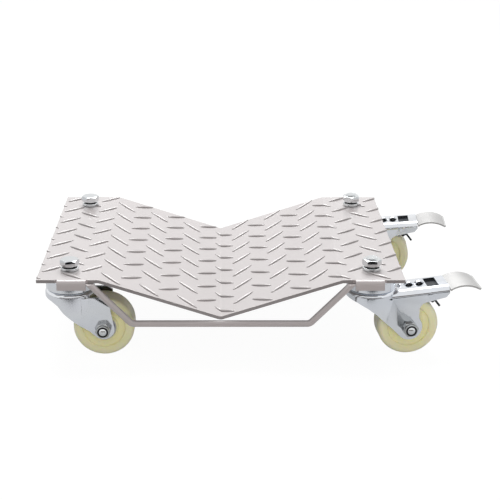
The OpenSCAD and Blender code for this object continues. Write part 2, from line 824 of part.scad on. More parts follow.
// Plan of the blade: a tongue in the housing's mouth, then the wide blade with round corners
module blade_plan() {
    mouth_x = housing_l + 1.2;
    corner_r = 6;
    inside_w = 2 * (leg_in_y - (housing_round - leg_t) - pedal_gap);
    end_x = mouth_x + pedal_l + 1;
    translate([blade_x, -inside_w / 2]) square([mouth_x - blade_x + pedal_hub_r, inside_w]);
    translate([mouth_x, -pedal_w / 2]) square([pedal_l + 1 - corner_r, pedal_w]);
    translate([mouth_x, corner_r - pedal_w / 2]) square([pedal_l + 1, pedal_w - 2 * corner_r]);
    for (s = [-1, 1]) translate([end_x - corner_r, s * (pedal_w / 2 - corner_r)]) circle(corner_r);
}

// Moves to the pedal pin in the side view, with -Y down the brake arm
module at_brake_arm() {
    translate([pin_x, pin_z]) rotate(brake_arm_lean) children();
}

module brake_lever(c) {
    color(black) corner(c) difference() {
        union() {
            intersection() {
                side_cut(2 * pedal_w) pedal_side();
                linear_extrude(2 * crown_top_z) lever_plan();
            }
            side_cut(pad_w) at_brake_arm() translate([-brake_arm_t / 2, -brake_arm_l])
                square([brake_arm_t, brake_arm_l]);
        }
        translate([pin_x, 0, pin_z]) rotate([90, 0, 0])
            cylinder(d = pin_d + 2 * fit_gap, h = 2 * pedal_w, center = true);
    }
}

module brake_pedal(c) {
    color(pedal_grey) corner(c) intersection() {
        side_cut(2 * pedal_w) pedal_side();
        linear_extrude(2 * crown_top_z) blade_plan();
    }
}

// The pad's face meets the tread at the end of the pedal's travel, with a small gap left
module brake_pad(c) {
    color(black) corner(c) side_cut(pad_w) difference() {
        at_brake_arm() translate([-brake_arm_t / 2 - pad_t, -brake_arm_l]) square([pad_t, pad_l]);
        translate([pin_x, pin_z]) circle(pedal_hub_r + seat_gap);
        translate([pin_x, pin_z]) rotate(pedal_travel) translate([trail_braked - pin_x, axle_z - pin_z])
            circle(wheel_d / 2 + 2 * free_gap);
    }
}

module adjuster_screw(c) {
    nut_af = 2 * adjuster_d + 0.5;
    color(black) corner(c) translate([pin_x, 0, pin_z]) rotate([0, -brake_arm_lean, 0])
        translate([0, 0, -brake_arm_l]) mirror([0, 0, 1]) {
            cylinder(d = adjuster_d, h = adjuster_l);
            hex(nut_af, adjuster_d);
        }
}

deck_plate();
brace_rod(-1);  // front_brace_rod
brace_rod(1);  // rear_brace_rod
spring_washers();
kingpin_bolts();
kingpin_nuts();
stem_bolts();
stem_nuts();
for (c = ALL_CORNERS) {
    top_disc(c);
    kingpin_sleeve(c);
    swivel_balls(c);
    lower_race(c);
    axle_bolt(c);
    axle_nut(c);
    axle_sleeve(c);
    wheel(c);
    wheel_bearings(c);
}
for (c = PLAIN) {
    plain_fork(c);
}
for (c = BRAKED) {
    braked_fork(c);
    pedal_pin(c);
    leaf_spring(c);
    brake_lever(c);
    brake_pedal(c);
    brake_pad(c);
    adjuster_screw(c);
}
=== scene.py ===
"""Wheel dolly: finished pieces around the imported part, and a studio view of it."""

import json
import math

import bmesh
import bpy
from bpy.props import FloatProperty, FloatVectorProperty, IntProperty, PointerProperty
from mathutils import Matrix, Vector


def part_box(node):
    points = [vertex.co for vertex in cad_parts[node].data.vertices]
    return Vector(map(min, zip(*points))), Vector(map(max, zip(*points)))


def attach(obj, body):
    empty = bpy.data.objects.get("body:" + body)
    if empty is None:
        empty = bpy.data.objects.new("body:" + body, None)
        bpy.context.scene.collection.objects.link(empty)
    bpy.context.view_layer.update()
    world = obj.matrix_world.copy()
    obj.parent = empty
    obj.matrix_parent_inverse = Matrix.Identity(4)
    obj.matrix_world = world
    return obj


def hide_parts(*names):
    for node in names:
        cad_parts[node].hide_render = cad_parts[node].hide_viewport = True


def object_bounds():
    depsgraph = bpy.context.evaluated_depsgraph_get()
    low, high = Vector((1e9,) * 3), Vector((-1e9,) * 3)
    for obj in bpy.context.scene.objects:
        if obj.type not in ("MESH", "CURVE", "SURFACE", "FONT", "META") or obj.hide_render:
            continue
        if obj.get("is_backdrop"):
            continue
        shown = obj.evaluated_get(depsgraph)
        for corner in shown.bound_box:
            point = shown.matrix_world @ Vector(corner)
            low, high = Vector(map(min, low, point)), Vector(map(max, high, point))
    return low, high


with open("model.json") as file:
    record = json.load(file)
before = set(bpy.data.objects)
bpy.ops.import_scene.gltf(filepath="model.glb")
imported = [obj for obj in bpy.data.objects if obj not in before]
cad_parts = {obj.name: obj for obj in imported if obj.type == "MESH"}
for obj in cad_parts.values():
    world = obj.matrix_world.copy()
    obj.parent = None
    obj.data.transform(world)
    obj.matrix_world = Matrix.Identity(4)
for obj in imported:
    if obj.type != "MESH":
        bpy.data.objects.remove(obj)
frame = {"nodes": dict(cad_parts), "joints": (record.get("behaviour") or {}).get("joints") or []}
CAD_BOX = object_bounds()

bl_info = {
    "name": "Wheel Dolly",
    "version": (1, 0, 0),
    "blender": (4, 5, 0),
    "location": "View3D > Sidebar > Dolly",
    "description": "Builds the finished pieces of a tread-plate wheel dolly and its studio view",
    "category": "Object",
}

MM = 0.001
CORNERS = ("front_left", "front_right", "rear_left", "rear_right")
PLAIN = ("front_left", "rear_left")
BRAKED = ("front_right", "rear_right")
JOINTS = {joint["name"]: joint for joint in frame["joints"]}

# Turn of each corner's hexagon on the deck, in degrees, 30 facing a flat to the front
HEX_TURN = {"front_left": 40, "front_right": 27, "rear_left": 40, "rear_right": 60}
LOWER_HEX_TURN, AXLE_HEAD_TURN, LOCK_NUT_TURN = 30, 10, 38

# Fasteners, in millimetres
KINGPIN_HEX, KINGPIN_RADIUS, KINGPIN_BORE, WASHER_FACE_RADIUS = 19, 6, 6.05, 6.8
AXLE_HEX, AXLE_RADIUS, AXLE_BORE = 16, 5, 5.05
# Share of its width across flats that a hexagon's flat turned end takes
HEX_END = 0.965
# Depth of a thread and the two ends of its crest, as shares of its pitch
THREAD_DEPTH, CREST_LOW, CREST_HIGH = 0.54, 0.44, 0.56

# Steps round a hexagon's blank and round one turn of thread
HEX_STEPS, THREAD_STEPS = 60, 32
# Distances in metres that count as none: between points that are one, at a weld and at a cut
NEAR, WELD, CUT = 1e-6, 1e-7, 1e-8


def length_property(name, description, millimetres, least=0):
    return FloatProperty(
        name=name, description=description, default=millimetres * MM, min=least * MM,
        unit="LENGTH", precision=5)


def pair_property(name, description, along, across):
    return FloatVectorProperty(
        name=name, description=description, default=(along * MM, across * MM), size=2,
        unit="LENGTH", precision=5)


def angle_property(name, description, degrees):
    return FloatProperty(name=name, description=description, default=math.radians(degrees), subtype="ANGLE")


def colour_property(name, description, *channels):
    return FloatVectorProperty(
        name=name, description=description, default=channels, size=3, min=0, max=1, subtype="COLOR")


def amount_property(name, description, amount, **kind):
    return FloatProperty(name=name, description=description, default=amount, min=0, **kind)


class DollySizes(bpy.types.PropertyGroup):
    plate_round: length_property("Plate rounding", "Rounding of the tread plate's edges", 0.6)
    rod_round: length_property("Rod rounding", "Rounding of the brace rods' ends", 0.4)
    sheet_round: length_property("Sheet rounding", "Rounding of the stamped forks and pedals", 0.5)
    disc_round: length_property("Disc rounding", "Rounding of the top race discs", 0.5)
    hex_round: length_property("Hex rounding", "Rounding of bolt heads and nuts", 0.3)
    washer_round: length_property("Washer rounding", "Rounding of the split washers", 1.0)
    lever_round: length_property("Lever rounding", "Rounding of the inner brake levers", 0.3)
    pad_round: length_property("Pad rounding", "Rounding of the brake pads", 0.4)
    screw_round: length_property("Screw rounding", "Rounding of the adjuster screws", 0.2)
    pin_round: length_property("Pin rounding", "Rounding of pedal pins, leaf springs and nut inserts", 0.15)
    hex_chamfer: angle_property("Hex chamfer", "Angle of the turned chamfer on bolt heads and nuts", 30)
    washer_face: length_property("Washer face", "Height of the turned face under a bolt head or nut", 1.8)
    thread_pitch: length_property("Thread pitch", "Pitch of the kingpins' thread", 1.75, least=0.2)
    turn_steps: IntProperty(
        name="Turned steps", description="Steps round a small turned piece", default=48, min=12)
    wheel_steps: IntProperty(
        name="Wheel steps", description="Steps round a wheel", default=120, min=24)


class DollyDeck(bpy.types.PropertyGroup):
    plate: length_property("Plate", "Thickness of the tread plate", 4)
    land: length_property("Land", "Length of each level end", 69)
    valley: length_property("Valley", "Depth of the V", 43.5)
    bend: length_property("Bend", "Setback of the rounded bends", 1.6)
    tab_inset: length_property("Tab inset", "Distance of a tab from the plate's end", 22.9)
    tab_width: length_property("Tab width", "Width of a bent-down tab", 32)
    tab_height: length_property("Tab height", "Height of a tab below the plate's top", 11)
    tab_bend: length_property("Tab bend", "Outside radius of a tab's bend", 5)
    tab_relief: length_property("Tab relief", "Depth of the notch beside a tab", 1.2)
    lug_length: length_property("Lug length", "Length of a raised lug", 31.5)
    lug_width: length_property("Lug width", "Width of a raised lug", 5.4)
    lug_height: length_property("Lug height", "Height of a raised lug", 1.85)
    lug_angle: angle_property("Lug angle", "Angle of a lug to the plate's length", 40)
    lug_pitch: pair_property("Lug pitch", "Distance of like lugs along and across the plate", 44.4, 43.1)
    lug_start: pair_property(
        "Lug start", "Place of one lug, along from the valley and across from the middle", -17.4, 12.3)
    lug_tip: length_property("Lug tip", "Shortest end of a lug that shows across a bend or an edge", 5)
    seat: length_property("Washer seat", "Radius of the flat round a kingpin", 11.2)
    seat_depth: length_property("Seat depth", "Depth of flattened lugs under the plate's top", 0.2)


class DollyFinishes(bpy.types.PropertyGroup):
    paint: colour_property("Deck paint", "Powder coat of plate and rods", 0.528, 0.486, 0.483)
    zinc: colour_property("Zinc", "Bright plating of forks, discs and pins", 0.76, 0.782, 0.815)
    bolts: colour_property("Bolt plating", "Bright grey plating of bolts, nuts and washers", 0.72, 0.74, 0.75)
    steel: colour_property("Steel", "Ground steel of races, sleeves and bearing rings", 0.56, 0.57, 0.59)
    nylon: colour_property("Nylon", "Moulded nylon of the wheels", 0.99, 0.93, 0.49)
    nylon_rim: colour_property("Nylon rim", "Paler nylon towards the treads", 1.0, 0.97, 0.70)
    nylon_scuff: colour_property("Nylon scuffs", "Fine scuffs on the wheels", 0.86, 0.83, 0.68)
    seal: colour_property("Seal", "Bearing seals and lock nut inserts", 0.012, 0.012, 0.014)
    pedal: colour_property("Pedal", "Matt plating of the brake pedals", 0.50, 0.497, 0.492)
    rubber: colour_property("Brake rubber", "Rubber of the brake pads", 0.03, 0.03, 0.03)
    rubber_dust: colour_property("Rubber dust", "Dust on rubber and seals", 0.09, 0.088, 0.085)
    oxide: colour_property("Black oxide", "Blackened brake levers and adjuster screws", 0.016, 0.02, 0.026)
    oxide_wear: colour_property("Worn oxide", "Worn spots of the black oxide", 0.04, 0.045, 0.05)


class DollyStage(bpy.types.PropertyGroup):
    camera_place: FloatVectorProperty(
        name="Camera", description="Where the camera stands",
        default=(0, -1.4285, 0.59375), size=3, subtype="TRANSLATION", unit="LENGTH")
    camera_pitch: angle_property("Camera pitch", "How far the camera looks down", 19.82)
    lens: FloatProperty(name="Lens", description="Focal length in millimetres", default=89.7, min=1)
    shift: FloatProperty(name="Shift", description="Sideways shift of the frame", default=0.0586)
    key_power: amount_property("Key light", "Power of the overhead light", 44, subtype="POWER")
    key_size: amount_property("Key size", "Side of the overhead light", 1.6, unit="LENGTH")
    fill_power: amount_property("Fill light", "Power of the low strip light in front", 5.5, subtype="POWER")
    fill_size: amount_property("Fill size", "Length of the low strip light", 2.0, unit="LENGTH")
    fill_depth: amount_property("Fill depth", "Width of the low strip light", 0.1, unit="LENGTH")
    ambient: amount_property("Ambient", "Strength of the even light all round", 0.4)
    floor_size: amount_property("Floor size", "Distance of the floor's edges from its middle", 8, unit="LENGTH")
    floor_glow: amount_property("Floor glow", "Strength of the floor's own white in the picture", 1.14)
    floor_shown: amount_property("Floor shown", "Share of that white in the picture", 0.84)
    floor_sheen: amount_property("Floor sheen", "Strength of the floor's white in reflections", 0.95)
    floor_mirrored: amount_property("Floor mirrored", "Share of that white in reflections", 0.5)


# Shader values


class Value:
    """A shader socket that takes part in Python expressions."""

    def __init__(self, finish, socket):
        self.finish = finish
        self.socket = socket

    def math(self, operation, first, second):
        return self.finish.add("ShaderNodeMath", {"operation": operation}, {0: first, 1: second})

    def __add__(self, other):
        return self.math("ADD", self, other)

    def __sub__(self, other):
        return self.math("SUBTRACT", self, other)

    def __mul__(self, other):
        return self.math("MULTIPLY", self, other)

    __rmul__ = __mul__

    def __pow__(self, other):
        return self.math("POWER", self, other)


class Finish:
    """A material, or the world, and the nodes that are added to it."""

    def __init__(self, tree):
        self.tree = tree
        tree.nodes.clear()

    def add(self, kind, settings=None, inputs=None, output=0):
        """Adds one node, sets it, then fills its sockets with values or links."""
        made = self.tree.nodes.new(kind)
        for name, setting in (settings or {}).items():
            if name == "stops":
                ramp = made.color_ramp
                while len(ramp.elements) < len(setting):
                    ramp.elements.new(0.5)
                for element, (place, colour) in zip(ramp.elements, setting):
                    element.position = place
                    element.color = (*colour, 1)
            else:
                setattr(made, name, setting)
        for name, given in (inputs or {}).items():
            if isinstance(given, Value):
                self.tree.links.new(given.socket, made.inputs[name])
            elif given is not None:
                made.inputs[name].default_value = given
        return Value(self, made.outputs[output]) if made.outputs else None

    def place(self):
        """Object coordinates, in metres."""
        return self.add("ShaderNodeTexCoord", output="Object")

    def rays(self):
        """Whether a ray comes from the camera, from a glossy surface and through a clear one."""
        kinds = ("Camera", "Glossy", "Transmission")
        return [self.add("ShaderNodeLightPath", output=f"Is {kind} Ray") for kind in kinds]

    def mark(self, name):
        """A mesh's own attribute, from 0 to 1."""
        return self.add("ShaderNodeAttribute", {"attribute_name": name}, output="Fac")

    def noise(self, scale, detail=2.0, rough=0.5, place=None):
        """Noise of a scale per metre, a number of finer layers and their strength."""
        return self.add("ShaderNodeTexNoise", None, {
            "Vector": place or self.place(), "Scale": scale, "Detail": detail, "Roughness": rough})

    def ramp(self, value, stops):
        return self.add("ShaderNodeValToRGB", {"stops": stops}, {"Fac": value})

    def spread(self, value, low, high, to_low=0.0, to_high=1.0):
        """Maps low to high onto to_low to to_high, held at both ends."""
        return self.add("ShaderNodeMapRange", {"clamp": True}, {
            "Value": value, "From Min": low, "From Max": high, "To Min": to_low, "To Max": to_high})

    def mix(self, factor, first, second, blend="MIX"):
        """A mix of two colours, which the node has as its sockets 6 and 7, and the result as 2."""
        return self.add(
            "ShaderNodeMix", {"data_type": "RGBA", "blend_type": blend}, {0: factor, 6: first, 7: second}, 2)

    def bump(self, height, distance, strength):
        return self.add("ShaderNodeBump", None, {"Height": height, "Distance": distance, "Strength": strength})

    def surface(self, **sockets):
        """The principled surface, with each socket named as Blender names it."""
        shader = self.add("ShaderNodeBsdfPrincipled", None, {
            name.replace("_", " "): given for name, given in sockets.items()})
        self.add("ShaderNodeOutputMaterial", None, {"Surface": shader})


def tint(colour, factor=1.0):
    """A colour made lighter or darker, with full opacity."""
    return (*(min(1.0, channel * factor) for channel in colour[:3]), 1.0)


def new_material(name):
    material = bpy.data.materials.new(name)
    material.use_nodes = True
    return material, Finish(material.node_tree)


def paint_finish(colours):
    material, f = new_material("powder_coat")
    cloud = f.noise(14, 3, 0.6)
    speck = f.noise(420, 2, 0.7)
    colour = f.mix(f.spread(cloud, 0.3, 0.7), tint(colours.paint, 0.97), tint(colours.paint, 1.02))
    colour = f.mix(f.spread(speck, 0.62, 0.8, 0, 0.18), colour, tint(colours.paint, 0.8))
    # Painted shade: the plate's cut edges and the lugs' steep flanks, as marked, are darkened towards half the
    # paint's tone
    colour = f.mix(f.mark("cut_edge") * f.spread(speck, 0.2, 0.7, 0.8, 1.0), colour, tint(colours.paint, 0.5))
    peel = f.noise(700, 1, 0.4)
    f.surface(
        Base_Color=colour, Roughness=f.spread(cloud + 0.3 * speck, 0.4, 0.9, 0.32, 0.44),
        Coat_Weight=1.0, Coat_Roughness=0.12, Normal=f.bump(peel, 0.00008, 0.35))
    return material


def plated_finish(name, colour, rough, warm=0.12):
    """Bright plating with faint blue, yellow and pink clouds, drawing marks and pits, darkened and made rougher
    where marked: painted shade in hexagon grooves and inside forks, an even darker tone on lock nuts.
    """
    material, f = new_material(name)
    place = f.place()
    cloud = f.noise(30, 2, 0.5, place)
    blue, pale, yellow, pink = (0.70, 0.80, 1.0), (0.92, 0.95, 1.0), (1.0, 0.97, 0.86), (0.97, 0.86, 0.95)
    film = f.ramp(f.noise(22, 1, 0.4, place), ((0.25, blue), (0.45, pale), (0.6, yellow), (0.8, pink)))
    base = f.mix(f.spread(cloud, 0.3, 0.75), tint(colour, 0.94), tint(colour, 1.05))
    base = f.mix(warm, base, film, "MULTIPLY")
    # Painted shade: faces marked in the shade layer are darkened nearly to black; on lock nuts the mark gives
    # an even darker tone all over
    darkening = f.mark("shade")
    base = f.mix(darkening, base, tint(colour, 0.06))
    stretched = f.add("ShaderNodeMapping", None, {"Vector": place, "Scale": (160, 160, 2600)})
    marks = f.add("ShaderNodeTexNoise", None, {"Vector": stretched, "Scale": 1.0, "Detail": 2.0})
    pits = f.spread(f.noise(900, 2, 0.6, place), 0.6, 0.75)
    f.surface(
        Base_Color=base, Metallic=1.0,
        Roughness=f.spread(cloud + 0.4 * marks, 0.45, 1.0, rough - 0.05, rough + 0.09) + 0.2 * darkening,
        Normal=f.bump(marks * 0.4 - 0.3 * pits, 0.00004, 0.3))
    return material


def nylon_finish(colours):
    material, f = new_material("wheel_nylon")
    cloud = f.noise(26, 2, 0.5)
    flow = f.noise(90, 3, 0.6)
    scuff = f.spread(f.noise(240, 3, 0.7), 0.62, 0.78, 0, 0.25)
    colour = f.mix(f.mark("rim") ** 2.0, tint(colours.nylon), tint(colours.nylon_rim))
    colour = f.mix(f.spread(cloud + 0.3 * flow, 0.4, 0.9, 0, 0.3), colour, tint(colours.nylon))
    colour = f.mix(scuff, colour, tint(colours.nylon_scuff))
    f.surface(
        Base_Color=colour, Roughness=f.spread(flow, 0.3, 0.7, 0.3, 0.44),
        Subsurface_Weight=0.5, Subsurface_Radius=(1.0, 0.8, 0.35), Subsurface_Scale=0.006,
        Normal=f.bump(f.noise(500, 2, 0.5), 0.00005, 0.25))
    return material


def rubber_finish(name, colour, dust_colour, rough):
    material, f = new_material(name)
    cloud = f.noise(60, 2, 0.5)
    dust = f.spread(f.noise(350, 3, 0.6), 0.6, 0.8, 0, 0.2)
    base = f.mix(dust, tint(colour), tint(dust_colour))
    f.surface(
        Base_Color=base, Roughness=f.spread(cloud, 0.3, 0.7, rough - 0.07, rough + 0.07),
        Normal=f.bump(f.noise(800, 2, 0.5), 0.00006, 0.35))
    return material


def pedal_finish(colours):
    material, f = new_material("pedal_plating")
    cloud = f.noise(40, 2, 0.5)
    grain = f.noise(1200, 2, 0.6)
    colour = f.mix(f.spread(cloud, 0.3, 0.7), tint(colours.pedal, 0.96), tint(colours.pedal, 1.03))
    f.surface(
        Base_Color=colour, Metallic=0.35, Roughness=f.spread(cloud + 0.3 * grain, 0.4, 0.9, 0.4, 0.52),
        Normal=f.bump(grain, 0.00005, 0.3))
    return material


def oxide_finish(colours):
    material, f = new_material("black_oxide")
    wear = f.spread(f.noise(300, 3, 0.6), 0.6, 0.8, 0, 0.3)
    f.surface(
        Base_Color=f.mix(wear, tint(colours.oxide), tint(colours.oxide_wear)),
        Metallic=0.2, Specular_IOR_Level=0.25, Roughness=f.spread(f.noise(120), 0.3, 0.7, 0.38, 0.55))
    return material


def finish_of(slot):
    """The material of one of the record's slots, made the first time it is asked for."""
    colours = bpy.context.scene.dolly_finishes
    made = bpy.context.scene.get("dolly_made", {})
    if slot in made:
        return bpy.data.materials[made[slot]]
    material = {
        "deck_paint": lambda: paint_finish(colours),
        "zinc": lambda: plated_finish("bright_zinc", colours.zinc, 0.1),
        "bolt_plating": lambda: plated_finish("bolt_plating", colours.bolts, 0.08, 0.05),
        "steel": lambda: plated_finish("ground_steel", colours.steel, 0.28, 0.05),
        "nylon": lambda: nylon_finish(colours),
        "seal": lambda: rubber_finish("black_seal", colours.seal, colours.rubber_dust, 0.4),
        "pedal_finish": lambda: pedal_finish(colours),
        "brake_rubber": lambda: rubber_finish("pad_rubber", colours.rubber, colours.rubber_dust, 0.62),
        "black_oxide": lambda: oxide_finish(colours),
    }[slot]()
    bpy.context.scene["dolly_made"] = {**dict(made), slot: material.name}
    return material


# Shapes


def kingpin_foot(corner):
    """The point on the floor under a kingpin."""
    kingpin = Vector(JOINTS[corner + "_swivel"]["pos_m"])
    return Vector((kingpin.x, kingpin.y, 0))


def caster_place(corner):
    """The caster's own place: origin on the floor under the kingpin, X along the trail, Z up."""
    across = Vector(JOINTS[corner + "_wheel_spin"]["axis"]).normalized()
    along = Vector((across.y, -across.x, 0))
    turn = Matrix((along, across, (0, 0, 1))).transposed().to_4x4()
    return Matrix.Translation(kingpin_foot(corner)) @ turn


def axle_place(corner):
    """The axle's middle, with Z along the axle towards its nut."""
    axle = Vector(JOINTS[corner + "_wheel_spin"]["pos_m"])
    turn = caster_place(corner).to_3x3().to_4x4() @ Matrix.Rotation(math.radians(90), 4, "X")
    return Matrix.Translation(axle) @ turn


def cad_copy(*nodes):
    """The meshes of CAD nodes in one bmesh, with their loose triangles joined."""
    bm = bmesh.new()
    for node in nodes:
        bm.from_mesh(frame["nodes"][node].data)
    bmesh.ops.remove_doubles(bm, verts=bm.verts, dist=NEAR)
    return bm


def arc(middle, radius, start, end, steps):
    """Points of an arc in the profile's plane, from one angle to another in degrees."""
    angles = [math.radians(start + (end - start) * i / steps) for i in range(steps + 1)]
    return [(middle[0] + radius * math.cos(a), middle[1] + radius * math.sin(a)) for a in angles]


def lathe(bm, profile, place, closed=False, steps=None):
    """Turns a profile of radii and heights, in millimetres, round Z and moves it to its place."""
    verts = [bm.verts.new((r * MM, 0, z * MM)) for r, z in profile]
    pairs = list(zip(verts, verts[1:])) + ([(verts[-1], verts[0])] if closed else [])
    edges = [bm.edges.new(pair) for pair in pairs]
    before = set(bm.verts) - set(verts)
    bmesh.ops.spin(
        bm, geom=verts + edges, cent=(0, 0, 0), axis=(0, 0, 1), dvec=(0, 0, 0),
        angle=math.tau, steps=steps or settings().turn_steps, use_merge=True, use_duplicate=False)
    made = [v for v in bm.verts if v not in before]
    bmesh.ops.remove_doubles(bm, verts=made, dist=WELD)
    made = [v for v in bm.verts if v not in before]
    faces = list({face for v in made for face in v.link_faces})
    bmesh.ops.recalc_face_normals(bm, faces=faces)
    bmesh.ops.transform(bm, matrix=place, verts=made)


def merge(bm, made):
    """Moves a bmesh into another one."""
    spare = bpy.data.meshes.new("spare")
    made.to_mesh(spare)
    made.free()
    bm.from_mesh(spare)
    bpy.data.meshes.remove(spare)


def slice_off(bm, point, outward):
    """Cuts off what lies beyond a plane, and gives the edges of the cut."""
    cut = bmesh.ops.bisect_plane(
        bm, geom=bm.verts[:] + bm.edges[:] + bm.faces[:], dist=CUT,
        plane_co=point, plane_no=outward, clear_outer=True)
    return [e for e in cut["geom_cut"] if isinstance(e, bmesh.types.BMEdge)]


def turned_hex(bm, across, low, high, bore, place, turn):
    """A hexagon as it is machined, in millimetres: a turned blank with chamfers, then six flats."""
    outer, face = across / math.sqrt(3), across / 2 * HEX_END
    drop = (outer - face) * math.tan(settings().hex_chamfer)
    profile = [(bore, low), (face, low), (outer, low + drop), (outer, high - drop), (face, high), (bore, high)]
    blank = bmesh.new()
    lathe(blank, profile, Matrix.Identity(4), bore > 0, HEX_STEPS)
    for i in range(6):
        away = Vector((math.cos(math.radians(60 * i)), math.sin(math.radians(60 * i)), 0))
        bmesh.ops.contextual_create(blank, geom=slice_off(blank, away * across / 2 * MM, away))
    bmesh.ops.recalc_face_normals(blank, faces=blank.faces)
    bmesh.ops.transform(
        blank, matrix=place @ Matrix.Rotation(math.radians(turn), 4, "Z"), verts=blank.verts)
    merge(bm, blank)


def shade_faces(bm, dullness):
    """Marks how far the plating on each face is darkened and made rougher, from 0 to 1."""
    shade = bm.faces.layers.float.new("shade")
    for face in bm.faces:
        face[shade] = dullness(face)


def shade_groove(bm, low, high):
    """Marks the faces between two heights, in millimetres, for painted shade in the groove under a hexagon."""
    slack = 0.01

    def inside(v):
        return low - slack < v.co.z / MM < high + slack

    shade_faces(bm, lambda face: float(all(inside(v) for v in face.verts)))


def shade_inside(bm, corner):
    """Marks a fork's inner faces for painted shade, darker and rougher plating: those that face its middle or
    the floor.
    """
    darkening, least_inward, least_downward = 0.8, 0.3, 0.8
    inverse = caster_place(corner).inverted()
    turn = inverse.to_3x3()

    def dullness(face):
        facing = turn @ face.normal
        inward = -facing.y * math.copysign(1, (inverse @ face.calc_center_median()).y)
        return darkening if inward > least_inward or -facing.z > least_downward else 0.0

    shade_faces(bm, dullness)


def thread(bm, radius, low, high, pitch, place):
    """A run of thread, in millimetres: a notch drawn up a helix, trimmed at both ends."""
    run = bmesh.new()
    root = radius - THREAD_DEPTH * pitch
    turns = math.ceil((high - low) / pitch) + 2
    notch = [(root, 0), (radius, CREST_LOW * pitch), (radius, CREST_HIGH * pitch), (root, pitch)]
    verts = [run.verts.new((r * MM, 0, (low - pitch + z) * MM)) for r, z in notch]
    edges = [run.edges.new(pair) for pair in zip(verts, verts[1:])]
    bmesh.ops.spin(
        run, geom=verts + edges, cent=(0, 0, 0), axis=(0, 0, 1), dvec=(0, 0, pitch * MM / THREAD_STEPS),
        angle=math.tau * turns, steps=THREAD_STEPS * turns, use_duplicate=False)
    bmesh.ops.remove_doubles(run, verts=run.verts, dist=WELD)
    for height, side in ((low, -1), (high, 1)):
        slice_off(run, (0, 0, height * MM), (0, 0, side))
    bmesh.ops.recalc_face_normals(run, faces=run.faces)
    if sum(f.normal.dot(f.calc_center_median() * Vector((1, 1, 0))) for f in run.faces) < 0:
        bmesh.ops.reverse_faces(run, faces=run.faces)
    bmesh.ops.transform(run, matrix=place, verts=run.verts)
    merge(bm, run)


def piece(name, bm, slot, body, nodes=(), edge=0.0, sharp=35):
    """Makes a finished piece that rides on a body and stands for CAD nodes.

    Its edges are rounded by a length in metres, and shaded as sharp above an angle in degrees.
    """
    mesh = bpy.data.meshes.new(name)
    bm.to_mesh(mesh)
    bm.free()
    mesh.polygons.foreach_set("use_smooth", [True] * len(mesh.polygons))
    mesh.set_sharp_from_angle(angle=math.radians(sharp))
    mesh.materials.append(finish_of(slot))
    made = bpy.data.objects.new(name, mesh)
    bpy.context.scene.collection.objects.link(made)
    if edge:
        rounding = made.modifiers.new("edge_round", "BEVEL")
        rounding.width = edge
        rounding.segments = 2
        rounding.limit_method = "ANGLE"
        rounding.angle_limit = math.radians(30)
        rounding.harden_normals = True
    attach(made, body)
    if nodes:
        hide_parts(*nodes)
    return made


def dress(node, slot):
    """Gives a CAD node that stays as it is its finish."""
    shown = frame["nodes"][node]
    shown.data.materials.clear()
    shown.data.materials.append(finish_of(slot))
    shown.data.polygons.foreach_set("material_index", [0] * len(shown.data.polygons))


def join(bm, mesh, place):
    """Adds a mesh to a bmesh at a place."""
    before = len(bm.verts)
    bm.from_mesh(mesh)
    bm.verts.ensure_lookup_table()
    bmesh.ops.transform(bm, matrix=place, verts=bm.verts[before:])


def trim(bm, point, outward):
    """Cuts off what lies beyond a plane and closes the cuts."""
    rim = slice_off(bm, point, outward)
    bmesh.ops.edgeloop_fill(bm, edges=[e for e in rim if len(e.link_faces) == 1])


class DeckLayout:
    """Places of the tread plate, from the frame and the plate's sizes."""

    def __init__(self):
        d = bpy.context.scene.dolly_deck
        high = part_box("deck_plate")[1]
        self.half_length = high.x
        self.half_width = high.y - d.tab_bend
        self.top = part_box("spring_washers")[0].z
        self.fold = self.half_length - d.land


def settings():
    """The sizes that several kinds of piece share."""
    return bpy.context.scene.dolly_sizes


# Operators


